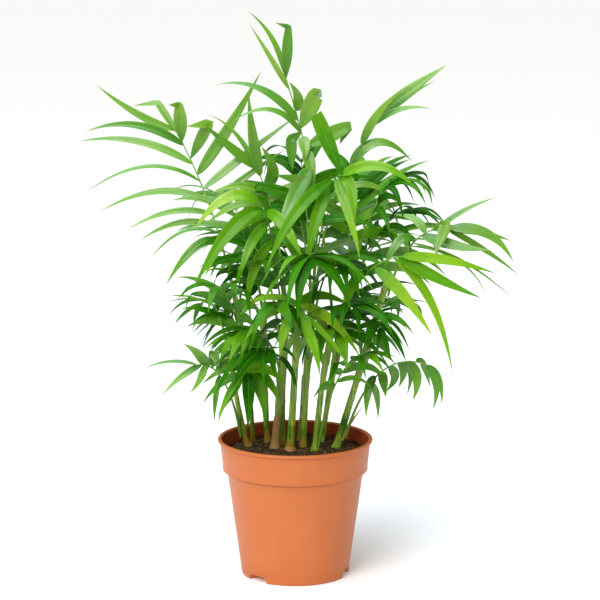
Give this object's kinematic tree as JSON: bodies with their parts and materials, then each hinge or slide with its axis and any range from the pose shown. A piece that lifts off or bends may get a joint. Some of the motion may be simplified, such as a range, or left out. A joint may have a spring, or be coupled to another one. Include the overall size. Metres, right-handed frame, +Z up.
{
  "type": "potted parlour palm",
  "caption": "Bushy clump of slender canes with arching feather fronds of narrow leaflets, in a round tapered nursery pot filled with potting mix.",
  "frame": {"origin": "centre of the pot's flat underside", "axes": "+Z up along the pot's axis, -Y towards the front of the plant, +X to its right as seen from the front"},
  "size_m": [0.3501, 0.2756, 0.4419],
  "materials": {
    "pot_plastic": "terracotta-coloured moulded plastic with a soft sheen",
    "potting_mix": "moist dark brown peat and bark crumbs, matt",
    "cane_green": "smooth yellow-green living stem with ring scars and papery sheaths",
    "leaf_dark": "dark green shaded leaf, satin",
    "leaf_mid": "mid green leaf, satin",
    "leaf_light": "light green leaf, satin",
    "leaf_bright": "young bright yellow-green leaf, satin"
  },
  "bodies": {
    "root": {"pot": "pot_plastic", "potting_mix": "potting_mix", "cane_a": "cane_green", "cane_b": "cane_green", "cane_c": "cane_green", "cane_d": "cane_green", "cane_e": "cane_green", "cane_f": "cane_green", "cane_g": "cane_green", "cane_h": "cane_green", "cane_i": "cane_green", "cane_j": "cane_green", "cane_k": "cane_green", "frond_b1": "leaf_light", "frond_e1": "leaf_light", "frond_h1": "leaf_light", "frond_j1": "leaf_light", "frond_g1": "leaf_bright", "frond_e2": "leaf_bright", "frond_i1": "leaf_light", "frond_h2": "leaf_bright", "frond_f1": "leaf_bright", "frond_k1": "leaf_dark", "frond_k2": "leaf_dark", "frond_i2": "leaf_mid", "frond_i3": "leaf_dark", "frond_i4": "leaf_mid", "frond_a1": "leaf_mid", "frond_c1": "leaf_mid", "frond_d1": "leaf_mid", "frond_c2": "leaf_dark", "frond_b2": "leaf_dark", "frond_a2": "leaf_mid", "frond_e3": "leaf_dark", "frond_f2": "leaf_mid", "frond_g2": "leaf_dark", "frond_g3": "leaf_mid", "frond_d2": "leaf_dark", "frond_h3": "leaf_mid", "frond_g4": "leaf_dark", "frond_d3": "leaf_dark", "frond_e4": "leaf_dark", "frond_h4": "leaf_dark", "frond_b4": "leaf_mid", "frond_k6": "leaf_dark", "frond_j5": "leaf_mid", "frond_k5": "leaf_mid", "frond_c3": "leaf_light", "frond_b3": "leaf_mid", "frond_j2": "leaf_light", "frond_j3": "leaf_mid", "frond_k3": "leaf_light", "frond_j4": "leaf_mid", "frond_k4": "leaf_dark", "frond_c4": "leaf_mid"}
  },
  "joints": []
}
